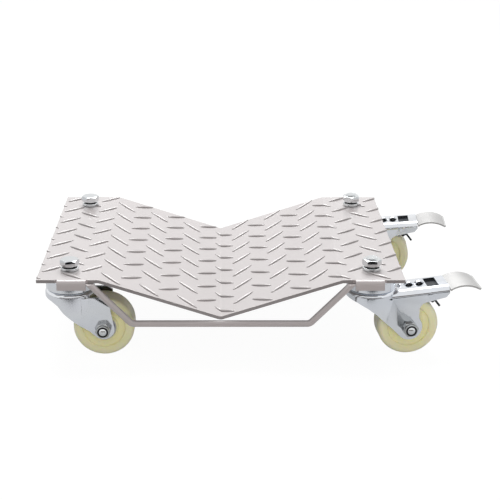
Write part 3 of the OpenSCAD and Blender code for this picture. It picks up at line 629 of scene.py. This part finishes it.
class DOLLY_OT_deck(bpy.types.Operator):
    """Tread plate: a sheet bent to a V, with tabs folded down on its long edges"""
    bl_idname = "dolly.deck"
    bl_label = "Deck plate"

    def execute(self, context):
        d, lay = context.scene.dolly_deck, DeckLayout()
        bm = bmesh.new()
        line = [bm.verts.new((x, -lay.half_width, z)) for x, z in (
            (-lay.half_length, lay.top), (-lay.fold, lay.top), (0, lay.top - d.valley),
            (lay.fold, lay.top), (lay.half_length, lay.top))]
        edges = [bm.edges.new(pair) for pair in zip(line, line[1:])]
        far = bmesh.ops.extrude_edge_only(bm, edges=edges)["geom"]
        far = [v for v in far if isinstance(v, bmesh.types.BMVert)]
        bmesh.ops.translate(bm, verts=far, vec=(0, 2 * lay.half_width, 0))
        creases = [e for e in bm.edges if len(e.link_faces) == 2]
        bmesh.ops.bevel(
            bm, geom=creases, offset=d.bend, offset_type="OFFSET", affect="EDGES", segments=4, profile=0.5,
            material=-1)
        tab_ends = (lay.half_length - d.tab_inset - d.tab_width, lay.half_length - d.tab_inset)
        relief = self.relief(tab_ends, d.tab_relief)
        for side in (-1, 1):
            for x in (*tab_ends, *relief):
                bmesh.ops.bisect_plane(
                    bm, geom=bm.verts[:] + bm.edges[:] + bm.faces[:], dist=WELD,
                    plane_co=(side * x, 0, 0), plane_no=(1, 0, 0))
        notches = relief[::2]
        for v in bm.verts:
            if any(abs(abs(v.co.x) - x) < NEAR for x in notches):
                v.co.y -= math.copysign(d.tab_relief, v.co.y)
        for across in (-1, 1):
            for along in (-1, 1):
                self.fold_tab(bm, d, lay, tab_ends, along, across)
        bmesh.ops.remove_doubles(bm, verts=bm.verts, dist=WELD)
        bmesh.ops.recalc_face_normals(bm, faces=bm.faces)
        if max(bm.faces, key=lambda face: face.calc_area()).normal.z < 0:
            bmesh.ops.reverse_faces(bm, faces=bm.faces)
        bmesh.ops.solidify(bm, geom=bm.faces, thickness=d.plate)
        bmesh.ops.recalc_face_normals(bm, faces=bm.faces)
        self.mark_edges(bm, d, lay)
        piece("tread_plate", bm, "deck_paint", "deck", ["deck_plate"], settings().plate_round, sharp=24)
        return {"FINISHED"}

    def mark_edges(self, bm, d, lay):
        """Marks the plate's cut edges for painted shade, paint darkened to stand in for the shade on them."""
        cut = bm.faces.layers.float.new("cut_edge")
        slack, facing = d.plate / 8, 0.9
        for face in bm.faces:
            middle = face.calc_center_median()
            across = abs(abs(middle.y) - lay.half_width) < slack and abs(face.normal.y) > facing
            along = abs(abs(middle.x) - lay.half_length) < slack and abs(face.normal.x) > facing
            face[cut] = float(across or along)

    def relief(self, tab_ends, depth):
        """Middle and outer end of the notch on either side of a tab."""
        return (tab_ends[0] - depth, tab_ends[0] - 2 * depth, tab_ends[1] + depth, tab_ends[1] + 2 * depth)

    def fold_tab(self, bm, d, lay, tab_ends, along, across):
        """Bends one tab down from the plate's long edge."""
        rim = [e for e in bm.edges if len(e.link_faces) == 1 and all(
            abs(v.co.y - across * lay.half_width) < NEAR
            and tab_ends[0] - NEAR < along * v.co.x < tab_ends[1] + NEAR for v in e.verts)]
        bent = bmesh.ops.spin(
            bm, geom=rim, cent=(0, across * lay.half_width, lay.top - d.tab_bend), axis=(1, 0, 0),
            dvec=(0, 0, 0), angle=-across * math.pi / 2, steps=6, use_merge=False,
            use_duplicate=False)["geom_last"]
        bent = [e for e in bent if isinstance(e, bmesh.types.BMEdge)]
        hung = bmesh.ops.extrude_edge_only(bm, edges=bent)["geom"]
        hung = [v for v in hung if isinstance(v, bmesh.types.BMVert)]
        bmesh.ops.translate(bm, verts=hung, vec=(0, 0, d.tab_bend - d.tab_height))


class DOLLY_OT_lugs(bpy.types.Operator):
    """Raised lugs of the tread plate, in crossed rows along its bent length"""
    bl_idname = "dolly.lugs"
    bl_label = "Tread lugs"

    def execute(self, context):
        d, lay = context.scene.dolly_deck, DeckLayout()
        dome = self.dome(d)
        field = bmesh.new()
        slant = math.hypot(lay.fold, d.valley)
        lean = math.atan2(d.valley, lay.fold)
        valley = Matrix.Translation((0, 0, lay.top - d.valley))
        stretches = (
            (-slant - d.land, -slant, 0, lean / 2, Matrix.Translation((slant - lay.fold, 0, lay.top))),
            (-slant, 0, -lean / 2, 0, valley @ Matrix.Rotation(lean, 4, "Y")),
            (0, slant, 0, lean / 2, valley @ Matrix.Rotation(-lean, 4, "Y")),
            (slant, slant + d.land, -lean / 2, 0, Matrix.Translation((lay.fold - slant, 0, lay.top))),
        )
        for start, end, lean_start, lean_end, place in stretches:
            part = bmesh.new()
            for along, across, turn in self.centres(d, lay, start, end):
                join(part, dome, Matrix.Translation((along, across, 0)) @ Matrix.Rotation(turn, 4, "Z"))
            for where, tilt, side in ((start, lean_start, -1), (end, lean_end, 1)):
                trim(part, (where, 0, 0), side * Vector((math.cos(tilt), 0, -math.sin(tilt))))
            for side in (-1, 1):
                trim(part, (0, side * lay.half_width, 0), Vector((0, side, 0)))
            bmesh.ops.transform(part, matrix=place, verts=part.verts)
            merge(field, part)
        bpy.data.meshes.remove(dome)
        for corner in CORNERS:
            kingpin = kingpin_foot(corner).xy
            for v in field.verts:
                if (v.co.xy - kingpin).length < d.seat:
                    v.co.z = min(v.co.z, lay.top - d.seat_depth)
        self.shade_flanks(field, lay, lean)
        piece("tread_lugs", field, "deck_paint", "deck", sharp=50)
        return {"FINISHED"}

    def shade_flanks(self, bm, lay, lean):
        """Marks the lugs' steep flanks for painted shade, paint darkened as on the plate's cut edges."""
        cut = bm.faces.layers.float.new("cut_edge")
        darkest, level, fade = 0.95, 0.95, 0.25
        bm.normal_update()
        for face in bm.faces:
            x = face.calc_center_median().x
            tilt = 0 if abs(x) > lay.fold else -math.copysign(lean, x)
            rise = face.normal.dot(Vector((math.sin(tilt), 0, math.cos(tilt))))
            face[cut] = darkest * min(1, max(0, (level - rise) / fade))

    def dome(self, d):
        """One lug along X: the upper half of a slim ball, with a closed foot under the plate's surface."""
        foot = -0.12
        bm = bmesh.new()
        bmesh.ops.create_uvsphere(bm, u_segments=18, v_segments=10, radius=1)
        trim(bm, (0, 0, foot), Vector((0, 0, -1)))
        bmesh.ops.scale(bm, vec=(d.lug_length / 2, d.lug_width / 2, d.lug_height), verts=bm.verts)
        mesh = bpy.data.meshes.new("lug")
        bm.to_mesh(mesh)
        bm.free()
        return mesh

    def centres(self, d, lay, start, end):
        """Places and turns of the lugs that reach well into a stretch of the plate."""
        reach = d.lug_length / 2 - d.lug_tip
        reach_x, reach_y = reach * math.cos(d.lug_angle), reach * math.sin(d.lug_angle)
        rows, columns = 12, 6
        for i in range(-rows, rows + 1):
            along = d.lug_start[0] + i * d.lug_pitch[0] / 2
            if not start - reach_x < along < end + reach_x:
                continue
            for j in range(-columns, columns + 1):
                across = d.lug_start[1] + (j + 0.5 * (i % 2)) * d.lug_pitch[1]
                if abs(across) < lay.half_width + reach_y:
                    yield along, across, (-d.lug_angle if i % 2 else d.lug_angle)


class DOLLY_OT_rods(bpy.types.Operator):
    """Bent brace rods under the plate's V"""
    bl_idname = "dolly.rods"
    bl_label = "Brace rods"

    def execute(self, context):
        for side in ("front", "rear"):
            node = side + "_brace_rod"
            piece(side + "_rod", cad_copy(node), "deck_paint", "deck", [node], settings().rod_round)
        return {"FINISHED"}


class DOLLY_OT_spring_washers(bpy.types.Operator):
    """Split spring washers under the heads and nuts on the deck"""
    bl_idname = "dolly.spring_washers"
    bl_label = "Spring washers"

    def execute(self, context):
        piece("split_washers", cad_copy("spring_washers"), "bolt_plating", "deck", ["spring_washers"],
              settings().washer_round)
        return {"FINISHED"}


class DOLLY_OT_kingpins(bpy.types.Operator):
    """Kingpin bolts of the plain casters, heads up, with their nuts"""
    bl_idname = "dolly.kingpins"
    bl_label = "Kingpin bolts"

    def execute(self, context):
        s = settings()
        low, high = (corner.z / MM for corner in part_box("kingpin_bolts"))
        nut_low, nut_high = (corner.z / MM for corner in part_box("kingpin_nuts"))
        head_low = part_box("spring_washers")[1].z / MM
        hex_low = head_low + s.washer_face / MM
        tip, tip_radius, thread_radius = 1, 5, 6.02
        bolts, nuts = bmesh.new(), bmesh.new()
        for corner in PLAIN:
            place = Matrix.Translation(kingpin_foot(corner))
            turned_hex(bolts, KINGPIN_HEX, hex_low, high, 0, place, HEX_TURN[corner])
            lathe(bolts, [(0, low), (tip_radius, low), (KINGPIN_RADIUS, low + tip), (KINGPIN_RADIUS, head_low),
                          (WASHER_FACE_RADIUS, head_low), (WASHER_FACE_RADIUS, hex_low), (0, hex_low)], place)
            thread(bolts, thread_radius, low + tip, nut_low, s.thread_pitch / MM, place)
            turned_hex(nuts, KINGPIN_HEX, nut_low, nut_high, KINGPIN_BORE, place, LOWER_HEX_TURN)
        # Painted shade in the groove under each bolt head
        shade_groove(bolts, head_low, hex_low)
        piece("kingpin_heads", bolts, "bolt_plating", "deck", ["kingpin_bolts"], s.hex_round)
        piece("kingpin_hex_nuts", nuts, "bolt_plating", "deck", ["kingpin_nuts"], s.hex_round)
        return {"FINISHED"}


class DOLLY_OT_stems(bpy.types.Operator):
    """Threaded stems of the braked casters, with their nuts on the deck"""
    bl_idname = "dolly.stems"
    bl_label = "Stems and nuts"

    def execute(self, context):
        s = settings()
        low, high = (corner.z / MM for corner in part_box("stem_bolts"))
        nut_low, nut_high = (corner.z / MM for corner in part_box("stem_nuts"))
        race_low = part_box("front_right_lower_race")[0].z / MM
        hex_low = nut_low + s.washer_face / MM
        shoulder, core, tip = nut_high - 1, 5.2, 4.6
        stems, nuts = bmesh.new(), bmesh.new()
        for corner in BRAKED:
            place = Matrix.Translation(kingpin_foot(corner))
            turned_hex(stems, KINGPIN_HEX, low, race_low, 0, place, LOWER_HEX_TURN)
            lathe(stems, [(0, race_low), (KINGPIN_RADIUS, race_low), (KINGPIN_RADIUS, shoulder),
                          (core, nut_high - 0.5), (core, high - 1), (tip, high - 0.4), (0, high)], place)
            thread(stems, KINGPIN_RADIUS, shoulder, high - 0.6, s.thread_pitch / MM, place)
            turned_hex(nuts, KINGPIN_HEX, hex_low, nut_high, KINGPIN_BORE, place, HEX_TURN[corner])
            lathe(nuts, [(KINGPIN_BORE, nut_low), (WASHER_FACE_RADIUS, nut_low), (WASHER_FACE_RADIUS, hex_low),
                         (KINGPIN_BORE, hex_low)], place, closed=True)
        # Painted shade in the groove under each nut
        shade_groove(nuts, nut_low, hex_low)
        piece("stem_studs", stems, "bolt_plating", "deck", ["stem_bolts"], s.hex_round)
        piece("stem_hex_nuts", nuts, "bolt_plating", "deck", ["stem_nuts"], s.hex_round)
        return {"FINISHED"}


class DOLLY_OT_swivels(bpy.types.Operator):
    """Top race discs, and the finish of balls, sleeves and lower races"""
    bl_idname = "dolly.swivels"
    bl_label = "Swivel heads"

    def execute(self, context):
        for corner in CORNERS:
            node = corner + "_top_disc"
            piece(corner + "_race_disc", cad_copy(node), "zinc", "deck", [node], settings().disc_round)
            for inner in ("_swivel_balls", "_kingpin_sleeve", "_lower_race"):
                dress(corner + inner, "steel")
        return {"FINISHED"}


class DOLLY_OT_forks(bpy.types.Operator):
    """Stamped forks with rounded sheet edges"""
    bl_idname = "dolly.forks"
    bl_label = "Forks"

    def execute(self, context):
        for corner in CORNERS:
            node = corner + "_fork"
            bm = cad_copy(node)
            # Painted shade on the fork's inner faces
            shade_inside(bm, corner)
            piece(corner + "_stamped_fork", bm, "zinc", corner + "_caster", [node],
                  settings().sheet_round, sharp=28)
        return {"FINISHED"}


class DOLLY_OT_axles(bpy.types.Operator):
    """Axle bolts with domed ends, and lock nuts with their black inserts"""
    bl_idname = "dolly.axles"
    bl_label = "Axles"

    def execute(self, context):
        s = settings()
        leg, head, nut, past = 20.2, 6.5, 10.5, 1.5
        top, hex_top, collar_low, insert_low = leg + nut, leg + 7.5, leg + 7, leg + 8
        core, dome = 4.3, 6.4
        insert_bore, collar_bore, collar, lip = 5.02, 6.4, 7.2, 1.3
        for corner in CORNERS:
            body, place = corner + "_caster", axle_place(corner)
            bolt = bmesh.new()
            turned_hex(bolt, AXLE_HEX, -leg - head, -leg, 0, place, AXLE_HEAD_TURN)
            lathe(bolt, [(0, -leg), (AXLE_RADIUS, -leg), (AXLE_RADIUS, top - 2.4), (core, top - 1.5),
                         (core, top - 0.2)] + arc((0, top + past - dome), dome, 50, 90, 5), place)
            piece(corner + "_axle", bolt, "bolt_plating", body, [corner + "_axle_bolt"], s.hex_round)
            lock = bmesh.new()
            turned_hex(lock, AXLE_HEX, leg, hex_top, AXLE_BORE, place, LOCK_NUT_TURN)
            lathe(lock, [(collar_bore, collar_low), (collar, collar_low)]
                  + arc((collar - lip, top - 1.6), lip, 0, 80, 4) + [(collar_bore, top - 0.3)],
                  place, closed=True)
            shade_faces(lock, lambda face: 0.4)
            piece(corner + "_lock_nut", lock, "bolt_plating", body, [corner + "_axle_nut"], s.hex_round)
            insert = bmesh.new()
            lathe(insert, [(insert_bore, insert_low), (collar_bore, insert_low), (collar_bore, top - 1.1),
                           (5.9, top - 0.8), (insert_bore, top - 0.9)], place, closed=True)
            piece(corner + "_nut_insert", insert, "seal", body, (), s.pin_round)
            dress(corner + "_axle_sleeve", "steel")
        return {"FINISHED"}


class DOLLY_OT_wheels(bpy.types.Operator):
    """Moulded wheels with rounded treads, recessed sides and hub bosses"""
    bl_idname = "dolly.wheels"
    bl_label = "Wheels"

    def execute(self, context):
        tread, half, edge, recess, hub, bore = 34.5, 15, 5, 2.5, 16, 8
        seat, seat_floor, boss, web_start, web_end, rim_start = 14.03, 8, 16, 17.6, 22.6, 25
        boss_fillet, rim_fillet, rim_round, chamfer, softened = 1.6, 1.4, 1, 0.4, 0.5
        web = half - recess
        side = (
            [(bore, seat_floor), (seat, seat_floor), (seat, hub - chamfer), (seat + chamfer, hub),
             (boss - softened, hub), (boss, hub - softened)]
            + arc((web_start, web + boss_fillet), boss_fillet, 180, 270, 4)
            + arc((web_end, web + rim_fillet), rim_fillet, 270, 340, 4)
            + arc((rim_start, half - rim_round), rim_round, 130, 90, 3)
            + arc((tread - edge, half - edge), edge, 90, 4, 8)
            + [(tread, half - edge - 1.5), (tread, 0.35), (tread - 0.12, 0)]
        )
        mirrored = [(r, -z) for r, z in reversed(side[:-1])]
        for corner in CORNERS:
            bm = bmesh.new()
            lathe(bm, side + mirrored, Matrix.Identity(4), True, settings().wheel_steps)
            rim = bm.verts.layers.float.new("rim")
            for v in bm.verts:
                v[rim] = min(1.0, v.co.xy.length / (tread * MM))
            bmesh.ops.transform(bm, matrix=axle_place(corner), verts=bm.verts)
            piece(corner + "_tyre", bm, "nylon", corner + "_wheel", [corner + "_wheel"], sharp=40)
        return {"FINISHED"}


class DOLLY_OT_bearings(bpy.types.Operator):
    """Sealed bearings in the hubs: steel rings with black seals between them"""
    bl_idname = "dolly.bearings"
    bl_label = "Bearings"

    def execute(self, context):
        hub, width, chamfer = 16, 8, 0.3
        bore, seal_start, seal_end, seat = 7.06, 8.6, 12.6, 13.98
        back, seal_back = hub - width, hub - width + 1
        for corner in CORNERS:
            rings, seals = bmesh.new(), bmesh.new()
            for flip in (1, -1):
                place = axle_place(corner) @ Matrix.Diagonal((1, flip, flip, 1))
                for inner, outer in ((bore, seal_start), (seal_end, seat)):
                    lathe(rings, [(inner, back), (outer, back), (outer, hub - chamfer), (outer - chamfer, hub),
                                  (inner + chamfer, hub), (inner, hub - chamfer)], place, closed=True)
                lathe(seals, [(seal_start, seal_back), (seal_end, seal_back), (seal_end, hub - 0.5),
                              (11.8, hub - 0.35), (11.4, hub - 0.7), (9.6, hub - 0.7), (9.2, hub - 0.4),
                              (seal_start, hub - 0.5)], place, closed=True)
            body = corner + "_wheel"
            piece(corner + "_bearing_seals", seals, "seal", body, [corner + "_wheel_bearings"])
            piece(corner + "_bearing_rings", rings, "steel", body)
        return {"FINISHED"}


class DOLLY_OT_brakes(bpy.types.Operator):
    """Brake pedals, pads, pins, springs and adjusters of the braked casters"""
    bl_idname = "dolly.brakes"
    bl_label = "Brakes"

    def execute(self, context):
        s = settings()
        smooth, stamped = 35, 28
        for corner in BRAKED:
            for name, node, slot, body, edge, sharp in (
                    ("_foot_pedal", "_brake_pedal", "pedal_finish", "_pedal", s.sheet_round, stamped),
                    ("_inner_lever", "_brake_lever", "black_oxide", "_pedal", s.lever_round, smooth),
                    ("_brake_block", "_brake_pad", "brake_rubber", "_pedal", s.pad_round, smooth),
                    ("_adjuster", "_adjuster_screw", "black_oxide", "_pedal", s.screw_round, smooth),
                    ("_pin", "_pedal_pin", "zinc", "_caster", s.pin_round, smooth),
                    ("_riveted_leaf", "_leaf_spring", "zinc", "_caster", s.pin_round, smooth)):
                piece(corner + name, cad_copy(corner + node), slot, corner + body, [corner + node], edge, sharp)
        return {"FINISHED"}


class DOLLY_OT_stage(bpy.types.Operator):
    """Floor, light and camera"""
    bl_idname = "dolly.stage"
    bl_label = "Stage"

    def execute(self, context):
        scene, s = context.scene, context.scene.dolly_stage
        self.floor(scene, s)
        self.world(scene, s)
        self.lamps(scene, s)
        self.cards(scene)
        self.camera(scene, s)
        scene.view_settings.view_transform = "Standard"
        return {"FINISHED"}

    def plane(self, scene, name, place, tilt, half):
        """A level plane, turned about X in degrees, that belongs to the stage."""
        bm = bmesh.new()
        bmesh.ops.create_grid(bm, x_segments=1, y_segments=1, size=1)
        turned = Matrix.Rotation(math.radians(tilt), 4, "X") @ Matrix.Diagonal((*half, 1, 1))
        bmesh.ops.transform(bm, matrix=Matrix.Translation(place) @ turned, verts=bm.verts)
        mesh = bpy.data.meshes.new(name)
        bm.to_mesh(mesh)
        bm.free()
        made = bpy.data.objects.new(name, mesh)
        scene.collection.objects.link(made)
        made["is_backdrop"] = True
        return made

    def floor(self, scene, s):
        """A pale floor that comes out white in the picture and keeps a faint shadow."""
        floor = self.plane(scene, "floor", (0, 0, 0), 0, (s.floor_size, s.floor_size))
        material, f = new_material("pale_floor")
        seen, glossy, clear = f.rays()
        lit = f.add("ShaderNodeBsdfDiffuse", None, {"Color": (0.5, 0.5, 0.5, 1)})
        glow = f.add("ShaderNodeEmission", None, {"Color": (1, 1, 1, 1), "Strength": s.floor_glow})
        soft = f.add("ShaderNodeEmission", None, {"Color": (0.97, 0.98, 1, 1), "Strength": s.floor_sheen})
        mixed = f.add("ShaderNodeMixShader", None, {0: s.floor_shown * seen, 1: lit, 2: glow})
        mixed = f.add("ShaderNodeMixShader", None, {0: s.floor_mirrored * (glossy + clear), 1: mixed, 2: soft})
        f.add("ShaderNodeOutputMaterial", None, {"Surface": mixed})
        floor.data.materials.append(material)

    def world(self, scene, s):
        """An even light all round, white in the picture and in reflections."""
        world = bpy.data.worlds.new("studio")
        world.use_nodes = True
        scene.world = world
        w = Finish(world.node_tree)
        seen, glossy, clear = w.rays()
        even = w.add("ShaderNodeBackground", None, {"Color": (1, 1, 1, 1), "Strength": s.ambient})
        white = w.add("ShaderNodeBackground", None, {"Color": (1, 1, 1, 1), "Strength": 1.0})
        shown = w.add("ShaderNodeMixShader", None, {0: seen + glossy + clear, 1: even, 2: white})
        w.add("ShaderNodeOutputWorld", None, {"Surface": shown})

    def lamps(self, scene, s):
        """A broad light overhead and behind, and a low warm strip in front that leaves no reflection."""
        aim = Vector((0, 0, 0.05))
        for name, place, size, power, tone, mirrored in (
                ("overhead", (-0.05, 1.15, 1.8), (s.key_size, s.key_size), s.key_power, (1, 1, 1), True),
                ("fill", (0.3, -1.4, 0.07), (s.fill_size, s.fill_depth), s.fill_power, (1, 0.92, 0.89), False)):
            lamp = bpy.data.lights.new(name, "AREA")
            lamp.shape = "RECTANGLE"
            lamp.size, lamp.size_y = size
            lamp.energy = power
            lamp.color = tone
            hung = bpy.data.objects.new(name, lamp)
            hung.location = place
            hung.rotation_euler = (aim - hung.location).to_track_quat("-Z", "Y").to_euler()
            hung.visible_glossy = mirrored
            scene.collection.objects.link(hung)

    def cards(self, scene):
        """Dark cards that show only in reflections, for the dark bands in bright plating."""
        for name, place, tilt, half, colour in (
                ("dark_card", (0, -2.6, 0.5), 90, (2.6, 0.45), (0.24, 0.22, 0.21, 1)),
                ("floor_card", (0, -0.45, 0.002), 0, (0.8, 0.1), (0.01, 0.01, 0.012, 1))):
            card = self.plane(scene, name, place, tilt, half)
            card.visible_camera = card.visible_diffuse = False
            card.visible_shadow = card.visible_transmission = False
            material, f = new_material(name)
            dark = f.add("ShaderNodeEmission", None, {"Color": colour, "Strength": 1.0})
            f.add("ShaderNodeOutputMaterial", None, {"Surface": dark})
            card.data.materials.append(material)

    def camera(self, scene, s):
        """The photograph's view."""
        camera = bpy.data.cameras.new("camera")
        camera.lens = s.lens
        camera.sensor_width = 36
        camera.shift_x = s.shift
        eye = bpy.data.objects.new("camera", camera)
        eye.location = s.camera_place
        eye.rotation_euler = (math.radians(90) - s.camera_pitch, 0, 0)
        scene.collection.objects.link(eye)
        scene.camera = eye


class DOLLY_PT_panel(bpy.types.Panel):
    bl_label = "Wheel Dolly"
    bl_idname = "DOLLY_PT_panel"
    bl_space_type = "VIEW_3D"
    bl_region_type = "UI"
    bl_category = "Dolly"

    def draw(self, context):
        for operator in OPERATORS:
            self.layout.operator(operator.bl_idname)


OPERATORS = (
    DOLLY_OT_deck, DOLLY_OT_lugs, DOLLY_OT_rods, DOLLY_OT_spring_washers, DOLLY_OT_kingpins,
    DOLLY_OT_stems, DOLLY_OT_swivels, DOLLY_OT_forks, DOLLY_OT_axles, DOLLY_OT_wheels,
    DOLLY_OT_bearings, DOLLY_OT_brakes, DOLLY_OT_stage,
)
GROUPS = {
    "dolly_sizes": DollySizes, "dolly_deck": DollyDeck,
    "dolly_finishes": DollyFinishes, "dolly_stage": DollyStage,
}
CLASSES = (*GROUPS.values(), *OPERATORS, DOLLY_PT_panel)


def register():
    for made in CLASSES:
        bpy.utils.register_class(made)
    for name, group in GROUPS.items():
        setattr(bpy.types.Scene, name, PointerProperty(type=group))


def unregister():
    for name in GROUPS:
        delattr(bpy.types.Scene, name)
    for made in reversed(CLASSES):
        bpy.utils.unregister_class(made)


def main():
    register()
    for operator in OPERATORS:
        group, name = operator.bl_idname.split(".")
        getattr(getattr(bpy.ops, group), name)()
    boxes = {"cad": CAD_BOX, "visual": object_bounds()}
    {name: [list(corner) for corner in box] for name, box in boxes.items()}


if __name__ == "__main__":
    main()
